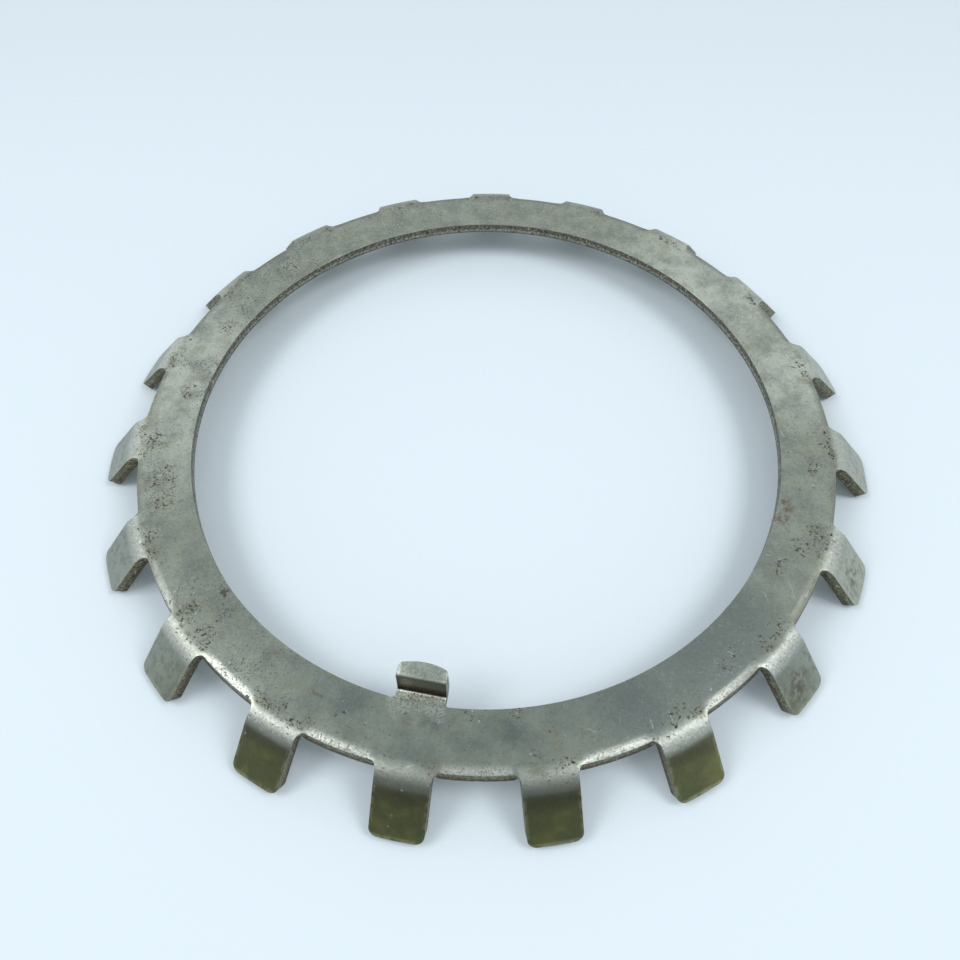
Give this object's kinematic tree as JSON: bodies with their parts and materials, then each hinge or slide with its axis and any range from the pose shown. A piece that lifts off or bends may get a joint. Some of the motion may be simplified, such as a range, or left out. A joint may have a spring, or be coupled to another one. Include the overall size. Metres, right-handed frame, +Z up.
{
  "type": "tab lock washer",
  "caption": "Formed sheet-steel lock washer: flat ring with a wide bore, a keyway tang inside it and flared tabs around the rim.",
  "frame": {"origin": "on the bore's axis, in the plane that the tab tips stand on", "axes": "+Z up along the bore's axis, from the tab tips to the ring's top face; the tang points along -Y, in line with one tab"},
  "size_m": [0.1614, 0.1608, 0.0158],
  "materials": {
    "worn_steel": "dull, handled steel with dark pits, fine scratches and rust specks"
  },
  "bodies": {
    "root": {"tab_lock_washer": "worn_steel"}
  },
  "joints": []
}
